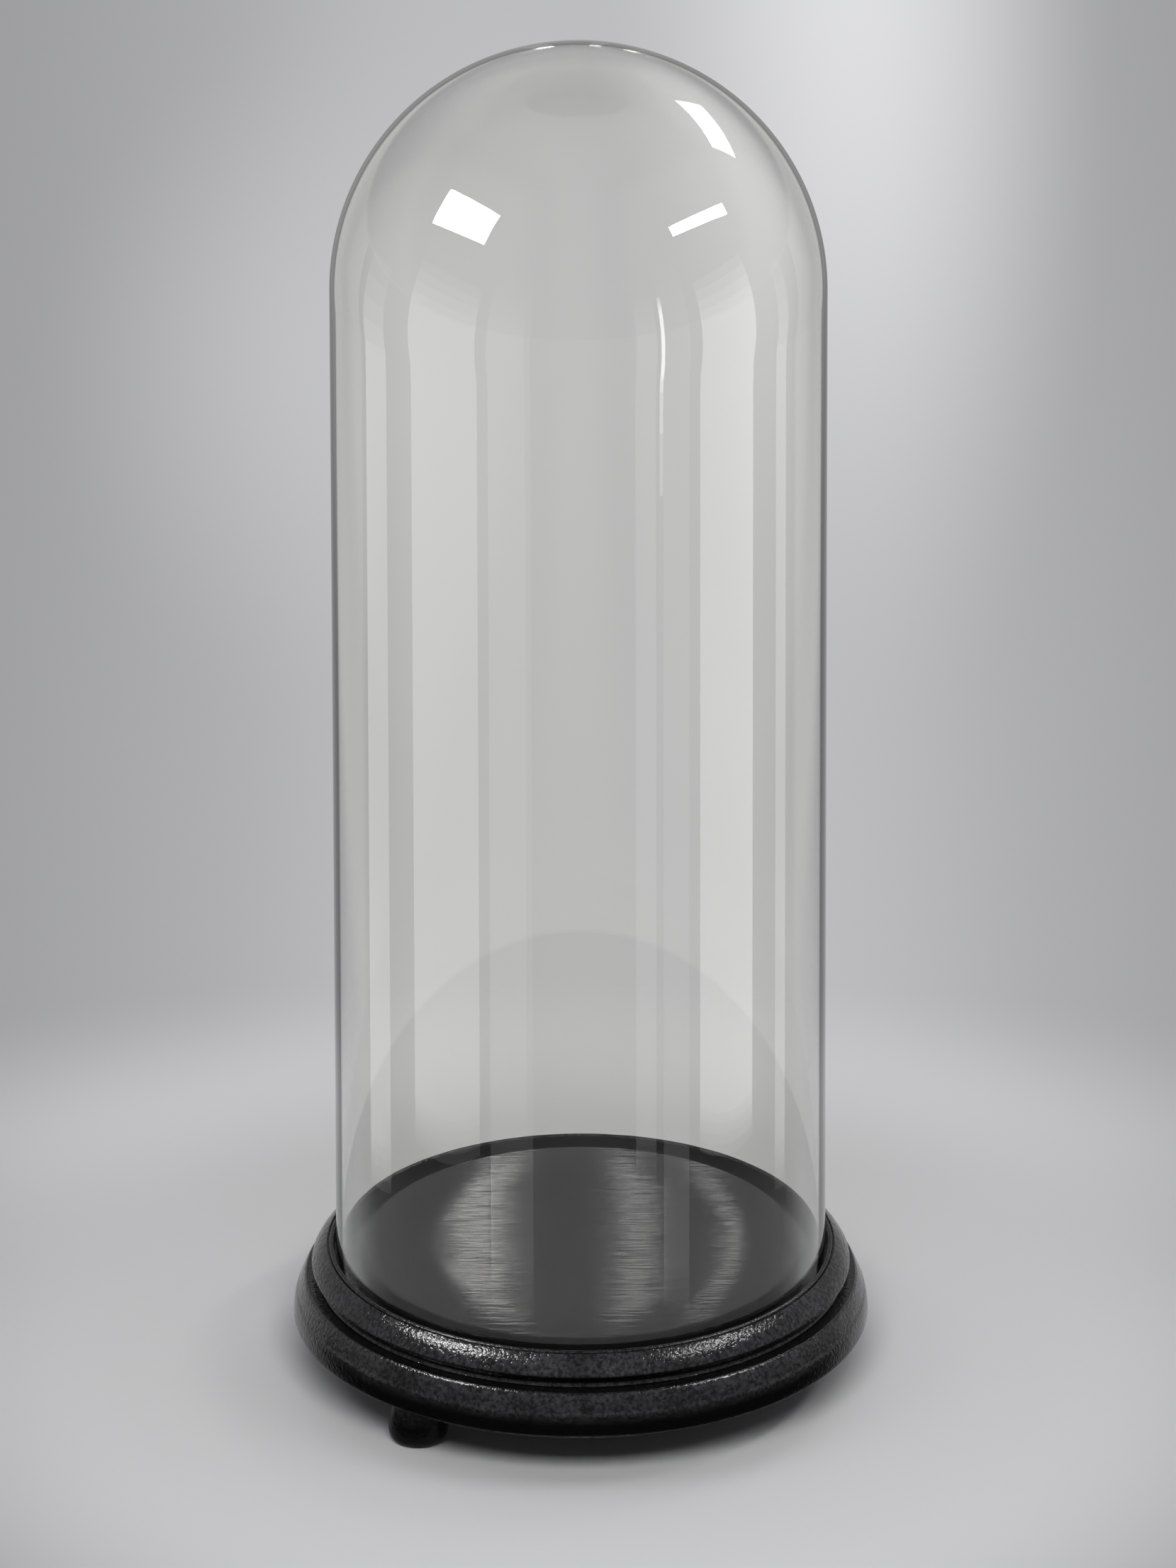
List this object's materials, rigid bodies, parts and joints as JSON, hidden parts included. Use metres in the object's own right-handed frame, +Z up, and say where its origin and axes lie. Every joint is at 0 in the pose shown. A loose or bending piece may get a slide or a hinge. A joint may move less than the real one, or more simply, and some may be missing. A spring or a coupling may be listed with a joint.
{
  "type": "glass display dome on turned wooden base",
  "caption": "Tall round-topped glass dome that stands in the groove of a turned, black painted wooden base on low bun feet.",
  "frame": {"origin": "on the axis of the dome, on the surface that the bun feet stand on", "axes": "+Z up along the dome's axis; the front of the base faces -Y; +X to the right seen from the front"},
  "size_m": [0.235, 0.235, 0.58],
  "materials": {
    "clear_glass": "clear blown glass, fire-polished",
    "gloss_black_wood": "turned wood under thick glossy black paint",
    "satin_black_wood": "flat board, brushed satin black paint",
    "bare_wood": "unpainted hardwood"
  },
  "bodies": {
    "base": {"plinth_board": "gloss_black_wood", "rim_ring": "gloss_black_wood", "display_board": "satin_black_wood", "bun_foot_front_left": "gloss_black_wood", "bun_foot_right": "gloss_black_wood", "bun_foot_rear": "gloss_black_wood", "foot_peg_front_left": "bare_wood", "foot_peg_right": "bare_wood", "foot_peg_rear": "bare_wood"},
    "dome": {"glass_dome": "clear_glass"}
  },
  "joints": [
    {"name": "dome_lift", "type": "slide", "parent": "base", "child": "dome", "axis": [0, 0, 1], "range_m": [0, 0.56]}
  ]
}
